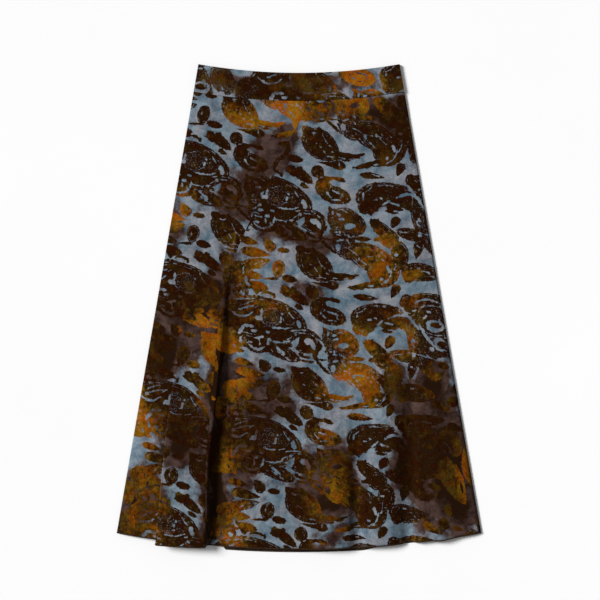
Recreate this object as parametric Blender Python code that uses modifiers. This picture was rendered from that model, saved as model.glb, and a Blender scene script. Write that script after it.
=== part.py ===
"""A pull-on A-line midi skirt in burnout velvet, laid flat with its front up.

The skirt lies in the XY plane: +Y runs to the waist, +X to the right of the front, +Z up out of the
cloth. Its panels are sectors of a shallow cone laid flat, so every point has an angle from the middle
line and a radius from the apex of the flare, which lies past the waist. Folds in the front are rows
of one table: each lifts the cloth and pushes it sideways, more and more towards the hem.
"""

import math
from collections import namedtuple

import bpy
import numpy as np

# Driving sizes, in metres.
WAIST_FLAT = 0.3413         # across the laid waistband, side to side
SIDE_ANGLE = math.radians(9.87)   # each side's slant from the middle line
BAND_HEIGHT = 0.0475        # waist edge to the seam under the band
PANEL_LENGTH = 0.7595       # that seam to the hem
BACK_HEM_EXTRA = 0.0060     # how far the middle of the back's hem hangs below the front's
CLOTH = 0.0012              # wall of one layer
BAND_THICK = 0.0024         # cloth folded double over flat elastic
SEAM_GAP = 0.0003           # air between two pieces that are sewn together

# Radii from the apex of the flare, and where that apex lies on +Y.
WAIST_RADIUS = WAIST_FLAT / 2 / math.sin(SIDE_ANGLE)
SEAM_RADIUS = WAIST_RADIUS + BAND_HEIGHT
PANEL_RADIUS = SEAM_RADIUS + SEAM_GAP
HEM_RADIUS = SEAM_RADIUS + PANEL_LENGTH
BACK_HEM_RADIUS = HEM_RADIUS + BACK_HEM_EXTRA
APEX_Y = (WAIST_RADIUS * math.cos(SIDE_ANGLE) + BACK_HEM_RADIUS) / 2

# The back's longer stretch of hem, in degrees from the middle: it starts sharply and tapers off.
BACK_STRIP_LEFT = (-4.03, -3.95)
BACK_STRIP_RIGHT = (3.3, 4.9)

# Heights of the layers.
BACK_RISE = 0.0006          # the back lifts to the middle of its band's edge over the last stretch
RISE_LENGTH = 0.050
FRONT_PUFF_AT_BAND = 0.0014
FRONT_PUFF_AT_HEM = 0.0056
SIDE_ROUNDING = 0.016       # how fast the front rises from its side edges

# The curved front seam, from the middle of the band down to a straight run on the left.
SEAM_ANGLE_LOW = math.radians(-5.60)
SEAM_SWING = math.radians(6.60)
SEAM_STRAIGHT_FROM = 1.400
SEAM_POWER = 1.5

# Folds of the front. angle: where it meets the hem, in degrees; slant: how many degrees its line
# gains for each metre up; start, full: radii where it begins and where it is fully grown; left,
# right: reach to each side; height: lift, or dip below the cloth beside it; lean: sideways push of
# its crest; drop: how much longer it lets the hem hang.
Fold = namedtuple("Fold", "name angle slant start full left right height lean drop")
FOLDS = (
    Fold("overlap", -7.15, -1.1, 1.340, 1.640, 0.016, 0.056, 0.0105, -0.0150, 0.0080),
    Fold("seam_ridge", -5.62, 0.8, 1.300, 1.540, 0.046, 0.009, 0.0105, 0.0050, 0.0030),
    Fold("seam_lean", -5.45, 0.0, 1.640, 1.800, 0.040, 0.022, 0.0, 0.0115, 0.0),
    Fold("seam_groove", -4.78, -0.5, 1.290, 1.540, 0.012, 0.038, -0.0044, 0.0, 0.0),
    Fold("middle_swell", 2.00, 1.5, 1.520, 1.780, 0.080, 0.040, 0.0058, 0.0, 0.0),
    Fold("middle_dip", 3.25, 1.6, 1.540, 1.770, 0.022, 0.012, -0.0048, -0.0020, 0.0),
    Fold("right_swell", 4.45, 4.0, 1.420, 1.640, 0.050, 0.046, 0.0044, 0.0, 0.0),
    Fold("right_dip", 6.12, 4.2, 1.400, 1.600, 0.036, 0.012, -0.0048, -0.0015, 0.0),
    Fold("side_swell", 7.70, 2.0, 1.480, 1.740, 0.022, 0.036, 0.0026, 0.0, 0.0020),
    Fold("hem_nick", 5.85, 0.0, 1.660, 1.800, 0.008, 0.020, -0.0012, 0.0, -0.0045),
)

# Grid counts: lines across each sheet and rows down it.
MAIN_COLUMNS, LEFT_COLUMNS, BACK_COLUMNS, BAND_COLUMNS = 46, 32, 24, 24
FRONT_ROWS, BACK_ROWS = 25, 6
CREASE_CROWDING = 4.5       # how much closer the lines stand at a fold
ROUND_STEPS = 5             # points round the band's folded top


def smooth(t):
    """0 below t=0, 1 above t=1, and 3t^2-2t^3 between."""
    t = np.clip(t, 0.0, 1.0)
    return t * t * (3.0 - 2.0 * t)


def bump(fold, angle, radius):
    """cos^2 of the distance from the fold's line over its reach, times its growth to the hem."""
    line = math.radians(fold.angle) + math.radians(fold.slant) * (HEM_RADIUS - radius)
    away = (angle - line) * radius
    reach = np.where(away < 0, fold.left, fold.right)
    across = np.cos(0.5 * math.pi * np.clip(away / reach, -1.0, 1.0)) ** 2
    return across * smooth((radius - fold.start) / (fold.full - fold.start))


def back_rise(radius):
    return BACK_RISE * (1.0 - smooth((radius - SEAM_RADIUS) / RISE_LENGTH))


def front_point(angle, radius):
    """The front's underside: layer height, a puff that fades at the side edges, then each fold."""
    down = (radius - SEAM_RADIUS) / PANEL_LENGTH
    puff = FRONT_PUFF_AT_BAND + (FRONT_PUFF_AT_HEM - FRONT_PUFF_AT_BAND) * smooth(down)
    from_side = (SIDE_ANGLE - np.abs(angle)) * radius
    height = CLOTH + SEAM_GAP + back_rise(radius)
    height = height + puff * (1.0 - np.exp(-from_side / SIDE_ROUNDING))
    push = np.zeros_like(height)
    for fold in FOLDS:
        height = height + fold.height * bump(fold, angle, radius)
        push = push + fold.lean * bump(fold, angle, radius)
    return on_plane(angle + push / radius, radius, height)


def back_point(angle, radius):
    return on_plane(angle, radius, back_rise(radius))


def on_plane(angle, radius, height):
    """Polar place about the apex of the flare, as x, y, z."""
    angle, radius, height = np.broadcast_arrays(angle, radius, height)
    return np.stack([radius * np.sin(angle), APEX_Y - radius * np.cos(angle), height], axis=-1)


def seam_angle(radius):
    """A power curve from the middle of the band, then straight down the left."""
    left_to_go = (SEAM_STRAIGHT_FROM - radius) / (SEAM_STRAIGHT_FROM - SEAM_RADIUS)
    return SEAM_ANGLE_LOW + SEAM_SWING * np.clip(left_to_go, 0.0, 1.0) ** SEAM_POWER


def front_hem_radius(angle):
    hem = np.full_like(angle, HEM_RADIUS)
    for fold in FOLDS:
        hem = hem + fold.drop * bump(fold, angle, HEM_RADIUS)
    return hem


def back_hem_radius(angle):
    degrees = np.degrees(angle)
    starts = smooth((degrees - BACK_STRIP_LEFT[0]) / (BACK_STRIP_LEFT[1] - BACK_STRIP_LEFT[0]))
    ends = smooth((degrees - BACK_STRIP_RIGHT[0]) / (BACK_STRIP_RIGHT[1] - BACK_STRIP_RIGHT[0]))
    return HEM_RADIUS + BACK_HEM_EXTRA * starts * (1.0 - ends)


def crowded(low, high, count, angles):
    """count+1 fractions from 0 to 1 over the angles low to high, closer together near each angle."""
    fine = np.linspace(low, high, 2000)
    density = np.ones_like(fine)
    for angle, reach in angles:
        density += CREASE_CROWDING * np.exp(-(((fine - angle) / reach) ** 2))
    total = np.concatenate([[0.0], np.cumsum(0.5 * (density[1:] + density[:-1]))])
    placed = np.interp(np.linspace(0.0, total[-1], count + 1), total, fine)
    return (placed - low) / (high - low)


def fold_lines(low, high):
    """The folds between two angles and the side edges, as (angle, reach) pairs in radians."""
    lines = [(math.radians(f.angle), (f.left + f.right) / 3 / HEM_RADIUS) for f in FOLDS]
    lines += [(-SIDE_ANGLE, SIDE_ROUNDING / HEM_RADIUS), (SIDE_ANGLE, SIDE_ROUNDING / HEM_RADIUS)]
    return [line for line in lines if low - line[1] <= line[0] <= high + line[1]]


def material(name, colour, roughness):
    made = bpy.data.materials.new(name)
    made.use_nodes = True
    shader = made.node_tree.nodes["Principled BSDF"]
    shader.inputs["Base Color"].default_value = (*colour, 1.0)
    shader.inputs["Roughness"].default_value = roughness
    shader.inputs["Metallic"].default_value = 0.0
    return made


def add_object(name, mesh, finish, collection):
    mesh.materials.append(finish)
    made = bpy.data.objects.new(name, mesh)
    collection.objects.link(made)
    mesh.shade_smooth()
    mesh.set_sharp_from_angle(angle=math.radians(40))
    return made


def sheet(name, points, finish, collection):
    """A cloth piece: the grid of its underside, with the wall built up from it by Solidify."""
    rows, columns = points.shape[:2]
    index = np.arange(rows * columns).reshape(rows, columns)
    corners = [index[:-1, :-1], index[1:, :-1], index[1:, 1:], index[:-1, 1:]]
    faces = np.stack(corners, axis=-1).reshape(-1, 4)
    mesh = bpy.data.meshes.new(name)
    mesh.from_pydata(points.reshape(-1, 3).tolist(), [], faces.tolist())
    made = add_object(name, mesh, finish, collection)
    wall = made.modifiers.new("cloth_wall", "SOLIDIFY")
    wall.thickness = CLOTH
    wall.offset = 1.0
    wall.use_even_offset = False
    return made


def front_main_panel(finish, collection):
    """From the curved seam to the right side edge."""
    down = np.linspace(0.0, 1.0, FRONT_ROWS + 1)[:, None]
    start_radius = PANEL_RADIUS + down * (HEM_RADIUS - PANEL_RADIUS)
    left = seam_angle(start_radius) + 0.5 * SEAM_GAP / start_radius
    across = crowded(SEAM_ANGLE_LOW, SIDE_ANGLE, MAIN_COLUMNS, fold_lines(SEAM_ANGLE_LOW, SIDE_ANGLE))
    angle = left + across[None, :] * (SIDE_ANGLE - left)
    radius = PANEL_RADIUS + down * (front_hem_radius(angle) - PANEL_RADIUS)
    return sheet("front_main_panel", front_point(angle, radius), finish, collection)


def front_left_panel(finish, collection):
    """From the left side edge to the curved seam."""
    down = np.linspace(0.0, 1.0, FRONT_ROWS + 1)[:, None]
    start_radius = PANEL_RADIUS + down * (HEM_RADIUS - PANEL_RADIUS)
    right = seam_angle(start_radius) - 0.5 * SEAM_GAP / start_radius
    across = crowded(-SIDE_ANGLE, SEAM_ANGLE_LOW, LEFT_COLUMNS, fold_lines(-SIDE_ANGLE, SEAM_ANGLE_LOW))
    angle = -SIDE_ANGLE + across[None, :] * (right + SIDE_ANGLE)
    radius = PANEL_RADIUS + down * (front_hem_radius(angle) - PANEL_RADIUS)
    return sheet("front_left_panel", front_point(angle, radius), finish, collection)


def back_panel(finish, collection):
    """The whole back: flat underneath, with its hem longer in the middle."""
    even = np.linspace(-SIDE_ANGLE, SIDE_ANGLE, BACK_COLUMNS + 1)
    step = np.radians(BACK_STRIP_LEFT)
    apart = np.abs(even[:, None] - step).min(axis=1) > 0.2 * (even[1] - even[0])
    angle = np.sort(np.concatenate([even[apart], step]))[None, :]
    down = np.concatenate([[0.0, 0.5, 1.0], np.linspace(1.0, PANEL_LENGTH / RISE_LENGTH, BACK_ROWS)[1:]])
    radius = PANEL_RADIUS + down[:, None] * RISE_LENGTH / PANEL_LENGTH * (back_hem_radius(angle) - PANEL_RADIUS)
    return sheet("back_panel", back_point(angle, radius), finish, collection)


def waistband(name, base, finish, collection):
    """A slab section, rounded at the folded top edge, carried along the waist from side to side."""
    half = 0.5 * BAND_THICK
    turn = np.linspace(-0.5 * math.pi, 0.5 * math.pi, ROUND_STEPS)
    fold_radius = WAIST_RADIUS + half * (1.0 - np.cos(turn))
    fold_height = half * (1.0 + np.sin(turn))
    middle = WAIST_RADIUS + 0.5 * BAND_HEIGHT
    radius = np.concatenate([[SEAM_RADIUS, middle], fold_radius, [middle, SEAM_RADIUS]])
    height = base + np.concatenate([[0.0, 0.0], fold_height, [BAND_THICK, BAND_THICK]])
    angle = np.linspace(-SIDE_ANGLE, SIDE_ANGLE, BAND_COLUMNS + 1)[:, None]
    points = on_plane(angle, radius, height)
    sections, ring = points.shape[:2]
    index = np.arange(sections * ring).reshape(sections, ring)
    onward = np.roll(index, -1, axis=1)
    sides = np.stack([index[:-1], onward[:-1], onward[1:], index[1:]], axis=-1).reshape(-1, 4)
    mesh = bpy.data.meshes.new(name)
    caps = [index[0, ::-1].tolist(), index[-1].tolist()]
    mesh.from_pydata(points.reshape(-1, 3).tolist(), [], sides.tolist() + caps)
    return add_object(name, mesh, finish, collection)


def main():
    for old in list(bpy.data.objects):
        bpy.data.objects.remove(old, do_unlink=True)
    collection = bpy.data.collections.new("a_line_midi_skirt")
    bpy.context.scene.collection.children.link(collection)
    velvet = material("burnout_velvet", (0.085, 0.065, 0.050), 0.75)
    band_velvet = material("band_velvet", (0.075, 0.055, 0.040), 0.75)
    back_panel(velvet, collection)
    front_left_panel(velvet, collection)
    front_main_panel(velvet, collection)
    waistband("waistband_back", 0.0, band_velvet, collection)
    waistband("waistband_front", BAND_THICK + SEAM_GAP, band_velvet, collection)


main()
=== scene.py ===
"""A pull-on A-line skirt of burnout velvet, laid flat on a pale surface with its front up.

The sections follow the skirt as it is put together: the back panel, the two front panels that meet
in a curved seam, the waistband, the hem. After them come the surface it lies on, the light and the
camera.
"""

import math
from collections import namedtuple

import bpy
import numpy as np
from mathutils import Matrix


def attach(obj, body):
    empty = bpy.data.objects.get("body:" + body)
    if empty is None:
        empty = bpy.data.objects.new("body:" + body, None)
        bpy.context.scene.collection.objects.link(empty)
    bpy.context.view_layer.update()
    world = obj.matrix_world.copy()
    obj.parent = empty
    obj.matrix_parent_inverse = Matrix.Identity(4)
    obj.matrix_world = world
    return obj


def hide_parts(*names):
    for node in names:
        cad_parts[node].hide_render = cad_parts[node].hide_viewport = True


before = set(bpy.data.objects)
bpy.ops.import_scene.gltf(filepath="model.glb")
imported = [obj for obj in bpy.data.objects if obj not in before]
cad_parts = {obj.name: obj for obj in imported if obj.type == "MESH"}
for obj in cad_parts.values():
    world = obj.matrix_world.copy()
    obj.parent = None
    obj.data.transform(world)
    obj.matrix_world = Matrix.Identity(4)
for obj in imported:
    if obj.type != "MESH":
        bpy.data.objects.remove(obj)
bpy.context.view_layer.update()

# ----------------------------------------------------------------------
# The back panel: one flared cut of burnout velvet. Its flare is a sector about an apex above the
# waist. It lies face down on the surface, and only a strip of its longer hem shows from above.

WAIST_FLAT = 0.3413               # across the laid waistband, side to side
SIDE_ANGLE = math.radians(9.87)   # each side's slant from the middle line
BAND_HEIGHT = 0.0475
PANEL_LENGTH = 0.7595
BACK_HEM_EXTRA = 0.006
CLOTH = 0.0012
SEAM_GAP = 0.0003

WAIST_RADIUS = WAIST_FLAT / 2 / math.sin(SIDE_ANGLE)
SEAM_RADIUS = WAIST_RADIUS + BAND_HEIGHT
PANEL_RADIUS = SEAM_RADIUS + SEAM_GAP
HEM_RADIUS = SEAM_RADIUS + PANEL_LENGTH
APEX_Y = (WAIST_RADIUS * math.cos(SIDE_ANGLE) + HEM_RADIUS + BACK_HEM_EXTRA) / 2

BACK_STRIP_LEFT = (-4.03, -3.95)  # degrees between which the longer hem starts
BACK_STRIP_RIGHT = (3.3, 4.9)     # and ends
BACK_RISE = 0.0006
RISE_LENGTH = 0.05


def running(steps):
    """The running total of the steps, from 0."""
    return np.concatenate([[0.0], np.cumsum(steps)])


def unit(arrows):
    """The arrows, each divided by its length."""
    return arrows / np.linalg.norm(arrows, axis=-1, keepdims=True)


def smooth(t):
    """0 below t=0, 1 above t=1, and 3t^2-2t^3 between."""
    t = np.clip(t, 0.0, 1.0)
    return t * t * (3.0 - 2.0 * t)


def on_plane(angle, radius, height):
    """Polar place about the apex of the flare, as x, y, z: the angle runs from the middle line."""
    angle, radius, height = np.broadcast_arrays(angle, radius, height)
    return np.stack([radius * np.sin(angle), APEX_Y - radius * np.cos(angle), height], axis=-1)


def back_rise(radius):
    """How far the cloth lifts to the band's lower edge: a smooth step over the last stretch."""
    return BACK_RISE * (1.0 - smooth((radius - SEAM_RADIUS) / RISE_LENGTH))


def back_hem_radius(angle):
    """The hem's radius, with a longer stretch that starts sharply on the left and tapers off."""
    degrees = np.degrees(angle)
    starts = smooth((degrees - BACK_STRIP_LEFT[0]) / (BACK_STRIP_LEFT[1] - BACK_STRIP_LEFT[0]))
    ends = smooth((degrees - BACK_STRIP_RIGHT[0]) / (BACK_STRIP_RIGHT[1] - BACK_STRIP_RIGHT[0]))
    return HEM_RADIUS + BACK_HEM_EXTRA * starts * (1.0 - ends)


# The velvet's paisley repeat, charted on the flat cloth in millimetres and degrees: across and down
# give a motif's middle, length runs from its round head to its tip, turn is that way clockwise from
# across. taper draws the tip out and hook swings it aside. pile is how much of the motif keeps its
# pile: 1 is solid, less is lacy, 0 burns a hole. Each lies over those before it.
Motif = namedtuple("Motif", "across down length width turn pile taper hook", defaults=(0, 0))
MOTIFS = [Motif(*row) for row in (
    # The large paisley: its neck, body, bowl and head, the finger above, the tail curled to the left.
    (38, -33, 54, 38, 55, 0.88), (84, -14, 90, 46, 22, 0.94, 0.05), (105, 5, 56, 58, 0, 0.94),
    (131, -21, 46, 31, 82, 0.96), (66, -47, 28, 9, 2, 0.95, 0.1), (94, -47, 16, 8, -6, 0.95, 0.1),
    (86, 30, 76, 19, 168, 0.97, 0.65, -0.3), (27, -29, 12, 9, 75, 0, 0.2),
    # The leaf above its neck, with a corner, a ragged foot and a hole.
    (40, 132, 62, 46, 22, 0.93, 0.05), (19, 130, 42, 24, 75, 0.89), (12, 113, 20, 13, 232, 0.95, 0.5),
    (32, 152, 46, 22, 8, 0.9), (43, 137, 17, 9, -6, 0, 0.1),
    # The egg-shaped leaf with a bumpy head, and its tail.
    (-11, 2, 74, 51, 36, 0.94, 0.12), (-34, -20, 26, 20, 222, 0.95, 0.2),
    (-15, -20, 20, 14, 262, 0.95, 0.2), (24, 20, 60, 17, 4, 0.95, 0.55, 0.6),
    # The small leaf under that tail.
    (5, 33, 46, 14, 190, 0.95, 0.9, 0.25), (20, 35, 22, 16, 14, 0.95, 0.05),
    # An oval leaf and a drop.
    (78, 51, 44, 14, 3, 0.94, 0.4), (126, 39, 24, 20, 112, 0.97, 0.55),
    # A bud, a lobed oblong leaf and small drops.
    (-13, 49, 27, 24, 58, 0.96, 0.2), (-39, 56, 46, 19, 36, 0.95, 0.1), (-58, 47, 22, 16, 60, 0.95, 0.05),
    (-62, 49, 14, 6, 10, 0.96, 0.05), (-46, 42, 10, 8, 0, 0.96, 0.05), (-35, 74, 17, 10, 30, 0.96, 0.3),
    # The comma: body, shoulder, hook and knob, and the burnt coil in it.
    (15, 86, 62, 29, 16, 0.97), (-3, 72, 36, 26, 104, 0.97), (6, 58, 32, 6, 1, 0.97),
    (20, 67, 24, 8, 14, 0), (24, 60, 18, 8, 20, 0.97),
    # The dome and the petal at its left foot; the gold leaf and the loop above it.
    (-94, 101, 150, 84, 13, 0.94), (-81, 93, 40, 34, 0, 0.88), (-52, 96, 26, 22, 60, 0.91),
    (-110, 42, 42, 18, 8, 0.95, 0.1), (-136, 52, 26, 24, 30, 0.93), (-109, 51, 9, 10, 90, 0.96, 0.2),
    # Curl, leaves and loops under the dome.
    (-138, 136, 44, 32, 55, 0.96, 0.05), (-104, 137, 50, 32, 10, 0.97),
    (-66, 124, 66, 17, -13, 0.93, 0.15), (-62, 150, 74, 26, 22, 0.95, 0.05), (-20, 131, 56, 38, 24, 0.97),
    (-37, 132, 18, 12, 300, 0, 0.5), (-42, 133, 11, 5, 165, 0, 0.4), (-15, 132, 15, 10, 18, 0, 0.1),
    (-8, 139, 15, 8, 66, 0, 0.3), (-17, 145, 17, 10, 20, 0.96, 0.1), (-26, 154, 10, 7, 40, 0.96, 0.1),
    (-18, 158, 15, 5, 12, 0.96, 0.1),
    # The crescent: its arch, the burnt hollow, its head, and what hangs inside.
    (112, 94, 118, 66, 8, 0.92), (119, 123, 76, 46, 5, 0), (67, 103, 27, 21, 100, 0.95),
    (83, 103, 20, 15, 10, 0.93), (119, 103, 28, 10, 4, 0.96, 0.1), (115, 109, 20, 6, 8, 0.96, 0.1),
    (121, 127, 23, 20, 112, 0.96, 0.35), (102, 143, 62, 24, 36, 0.96, 0.05),
    (88, 130, 20, 17, 295, 0.96, 0.4), (112, 156, 36, 30, 30, 0.96),
    # The crescent's right arm with its coil, and the sprig under it.
    (169, 124, 112, 34, 70, 0.9), (153, 148, 58, 22, 8, 0.93), (163, -33, 34, 22, 98, 0.94, 0.35),
    (171, 126, 25, 16, 8, 0), (171, 126, 21, 12, 8, 0.95), (171, 126, 14, 7, 8, 0),
    (171, 126, 9, 4, 8, 0.95),
    # A half leaf with a flat foot, a small leaf and a bud.
    (170, 6, 70, 35, 6, 0.91, 0.15), (149, 13, 22, 20, 90, 0.97), (217, 27, 38, 16, 25, 0.95, 0.45),
    (236, 18, 22, 22, 40, 0.95, 0.15),
    # The tall rosette: its ground, the leaf across its top and the eyes down its middle.
    (192, 116, 144, 60, 80, 0.9), (184, 52, 80, 24, -4, 0.93, 0.1), (152, 64, 44, 26, 62, 0.96),
    (198, 96, 32, 20, 6, 0), (200, 94, 21, 10, 4, 0.97), (207, 123, 20, 14, 20, 0),
    (211, 126, 16, 9, 10, 0.96), (213, 159, 34, 23, -5, 0), (214, 161, 21, 11, 20, 0.96),
    # To its right.
    (236, 84, 56, 40, 60, 0.86, 0.1), (246, 150, 92, 40, 58, 0.86, 0.25),
    (272, 112, 40, 22, 70, 0.93, 0.3), (244, 60, 30, 16, 20, 0.95, 0.5),
    # Leaves, drops and a big lobed leaf on the left.
    (-111, -15, 50, 20, 8, 0.95, 0.45), (-90, -30, 26, 22, 235, 0.95, 0.35),
    (-64, -21, 22, 10, 8, 0.96, 0.1), (-124, -33, 34, 15, 12, 0.94, 0.35), (-138, 24, 50, 36, 84, 0.9),
    (-113, 3, 54, 25, -13, 0.93, 0.35), (-120, 22, 40, 21, 14, 0.93, 0.3),
    (-73, 12, 30, 24, 100, 0.95, 0.1), (-86, 28, 28, 6, 176, 0.95, 0.5), (-53, 26, 25, 12, 8, 0.95, 0.05),
    (-145, 12, 24, 30, 80, 0.93), (-170, 118, 78, 44, 80, 0.89), (-152, 150, 26, 18, 20, 0.93, 0.2),
    (-164, 46, 42, 28, 80, 0.9, 0.1), (262, 27, 20, 10, 20, 0.95, 0.3), (242, -4, 22, 14, 60, 0.93, 0.2),
)]
# Curved lines in the repeat. bend is how far the ends turn down, or up below 0, in millimetres across
# the line; pile 0 burns a light line and 1 draws a dark one.
Stroke = namedtuple("Stroke", "across down length width turn pile bend", defaults=(0, 0))
STROKES = [Stroke(*row) for row in (
    # In the large paisley.
    (124, -23, 8, 4.7, 0), (113, 3, 14, 5.6, 70), (103, 20, 6, 5.2, 0), (116, 17, 28, 2.2, 112, 0.1, 3),
    (96, -18, 30, 1.3, 42, 0.3), (91, -12, 22, 1.2, 42, 0.35), (101, -24, 20, 1.2, 42, 0.35),
    (72, -18, 32, 1.5, 2, 0.1), (63, -14, 9, 3.4, 80), (61, -4, 30, 1.9, 42, 0.05),
    (69, -8, 24, 1.4, 38, 0.15), (84, 32, 12, 3, -6), (106, 27, 12, 2.2, -36),
    (124, 2, 22, 1.5, 108, 0.15, 3), (52, -24, 26, 1.5, 30, 0.15, 2), (45, -38, 14, 1.7, 55, 0.1),
    (30, -42, 12, 3, -15, 0.05), (15, -39, 8, 3.4, 20),
    # In the leaf above it and the rosette at its foot.
    (25, 119, 7, 5.2, 0), (29, 126, 11, 4.3, -8), (36, 114, 15, 2.2, 20), (43, 154, 9, 2.8, 30),
    (20, 149, 7, 2.6, -10), (28, 153, 10, 2.6, 0), (27, 148, 6, 3.4, 60), (36, 151, 7, 2.1, 60),
    (15, 117, 3.5, 12, 0, 0.1),
    # The ends of the two tails, and what is burnt in the egg-shaped leaf's and the small leaf.
    (22, 20, 40, 14, 10, 1), (42, 21, 34, 8, -2, 1, -1), (54, 18, 22, 5.5, -12, 1, -1),
    (59, 37, 36, 6, -4, 1, -1.5), (-2, -2, 30, 1.3, 50, 0.3, -3), (-12, 6, 26, 1.3, 40, 0.3, 2),
    (-24, -18, 12, 2.4, -10, 0.05, -2), (4, 22, 12, 2.6, 6, 0.05), (25, 23, 12, 2.2, 5, 0.05),
    (38, 24, 14, 1.5, -4, 0.1), (12, 15, 8, 1.7, 20, 0.1), (20, 33, 3, 6, 0, 0.1),
    (84, 50, 12, 1.7, 10, 0.15),
    # The comma's coil.
    (18, 81, 21, 2.8, 21, 0, 1), (29, 89, 9, 2.2, 100, 0.05, -1), (20, 94, 16, 2.2, 5, 0.05, 1),
    (5, 86, 15, 2.6, 48, 0, -1), (-10, 59, 15, 1.6, -22, 0.1),
    # In the dome: the wedge in its rim, its dots and arcs, the line along its foot.
    (-35, 103, 16, 7.3, 68), (-47, 90, 23, 1.6, 48, 0.1, -1.5), (-63, 88, 4, 4.3, 0),
    (-65, 95, 3.6, 6.9, 0), (-67, 102, 7, 2.6, -10, 0.1), (-102, 95, 13, 7.7, 10),
    (-98, 86, 15, 3.4, 100), (-70, 112, 24, 3.2, 6, 0, -1), (-53, 111, 16, 2.4, -14, 0.05),
    (-44, 114, 9, 2.2, -15, 0.05), (-30, 113, 20, 2.2, 4, 0.05, 1), (-88, 118, 7, 4.3, 10),
    (-131, 93, 40, 4.3, 2, 0, -9), (-136, 82, 7, 5.2, 0), (-125, 78, 26, 3, -16, 0, 1),
    (-123, 63, 46, 1.7, -3, 0.1, 1.5), (-122, 69, 30, 1.7, -18, 0.1), (-130, 73, 16, 1.5, -22, 0.1),
    (-107, 77, 11, 2.2, -35, 0.05), (-131, 117, 21, 6.9, 118), (-119, 109, 21, 5.2, 2),
    (-109, 117, 10, 5.2, 0),
    # In the curl, the leaves and the loops.
    (-97, 126, 9, 4.3, -12), (-99, 134, 14, 2.2, 76, 0, 2), (-103, 147, 36, 4.3, 2, 0, -10),
    (-114, 137, 9, 4.3, 10), (-85, 133, 13, 4.3, 98), (-118, 122, 18, 1.7, 12, 0.1),
    (-112, 128, 20, 1.5, 10, 0.15), (-131, 134, 12, 5.2, 80), (-143, 143, 9, 3.4, 60, 0.1),
    (-124, 149, 9, 6.9, 0), (-72, 134, 22, 3.2, 8), (-56, 133, 16, 2.8, -16), (-50, 127, 11, 2.2, -40),
    (-62, 149, 22, 5.2, 38), (-57, 157, 28, 1.9, 32, 0.05), (-49, 142, 8, 1.7, 20, 0.1),
    (-84, 153, 5, 4.3, 0), (-39, 121, 4, 5.2, 0, 0.05), (-27, 118, 26, 1.5, 6, 0.1, 1),
    (-8, 123, 22, 1.4, 36, 0.15), (6, 135, 17, 3.4, 60, 0, 0.5), (-2, 149, 20, 9, 125, 1),
    (-5, 158, 14, 8, 70, 1, -1), (6, 162, 22, 4.5, 6, 1, -2), (8, 154, 17, 9.5, 40),
    (-15, 166, 24, 5, 2, 1, -2.5), (9, 174, 38, 6, 41, 1),
    # In the gold leaf and the loop above the dome.
    (-88, 50, 28, 6, 8, 1, 6), (-90, 55, 24, 3.4, 6, 0.3, 3), (-77, 56, 10, 6, 90, 1),
    (-134, 55, 10, 6.9, 30), (-118, 52, 12, 7.7, 70), (-140, 41, 26, 3, -30, 0.05),
    # In the crescent.
    (141, 79, 42, 5.2, 3, 0, 8), (119, 96, 16, 3.1, 8), (103, 96, 14, 4, -42),
    (65, 86, 3.2, 11.2, 0, 0.05), (86, 91, 8, 2.6, 0, 0.1), (104, 65, 26, 1.6, 2, 0.1, 1.5),
    (146, 73, 20, 1.7, 14, 0.1, 1), (73, 76, 14, 1.6, -36, 0.1, -1), (122, 107, 10, 1.7, -4),
    (95, 88, 5, 2.6, 20, 0.1), (138, 145, 10, 3.1, -4), (164, 147, 6, 5.2, 0),
    (177, 146, 38, 1.9, 14, 0.1), (162, 121, 9, 3.4, 50, 0.05), (162, -37, 7, 2.9, 20),
    # The light groove beside the rosette, and its arcs.
    (151, 80, 60, 5.2, 52), (182, 112, 44, 5.2, 50, 0, -2), (194, 134, 9, 7.7, 0),
    (183, 52, 44, 4, -2, 0, 6), (190, 62, 30, 2.1, -2, 0.05, 3), (176, 65, 7, 3.4, -20),
    (162, 71, 10, 3.4, -16, 0.05), (187, 73, 10, 3.4, 12), (181, 82, 9, 4.3, -50),
    (199, 111, 42, 1.7, 8, 0.05, -3), (202, 116, 38, 1.7, 8, 0.05, -3), (201, 131, 42, 4.3, 34, 0, -7),
    (206, 89, 4, 12, -20), (190, 148, 20, 2.6, 30, 0.05, -2), (204, 172, 26, 2.6, 8, 0, -4),
    (166, -2, 7, 3.4, 0, 0.05), (180, 6, 16, 1.7, 30, 0.15, 2), (190, 14, 14, 1.7, 30, 0.15, 2),
    (232, 92, 24, 2.6, 50, 0.05, 3), (240, 112, 26, 7.7, 50), (250, 150, 40, 2.6, 70, 0.05, 4),
    (238, 140, 26, 1.7, 64, 0.15, 3), (262, 160, 22, 4.3, 70, 0.05),
    # In the lobed leaf on the left.
    (-102, 6, 18, 1.5, -38, 0.1), (-113, 13, 8, 4.5, -20), (-127, 34, 19, 5, 72, 0, -4),
    (-106, 0, 26, 1.3, -16, 0.2, 2), (-133, 15, 3, 16, 0, 0.15), (-76, 9, 14, 1.2, 96, 0.2, -2),
)]
REPEAT_DOWN = 0.2047              # metres of cloth from one row of motifs to the next
REPEAT_ACROSS = 0.450
EDGE = 0.0011                     # how softly the pile ends at a motif's edge
LINE_EDGE = 0.0008                # and at a line's
STRETCH = 30                      # rows of the chart that a shader works out in one go


def fill(node, inputs):
    """Gives inputs of a shader node a value, or another node's output."""
    for name, value in inputs.items():
        if isinstance(value, bpy.types.NodeSocket):
            node.id_data.links.new(value, node.inputs[name])
        else:
            node.inputs[name].default_value = value


def add(kind, inputs, tree=None, **settings):
    """A new shader node with its settings and its inputs, in the tree of the outputs among them."""
    sources = [value for value in inputs.values() if isinstance(value, bpy.types.NodeSocket)]
    made = (tree or sources[0].id_data).nodes.new("ShaderNode" + kind)
    for name, value in settings.items():
        setattr(made, name, value)
    fill(made, inputs)
    return made


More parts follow.
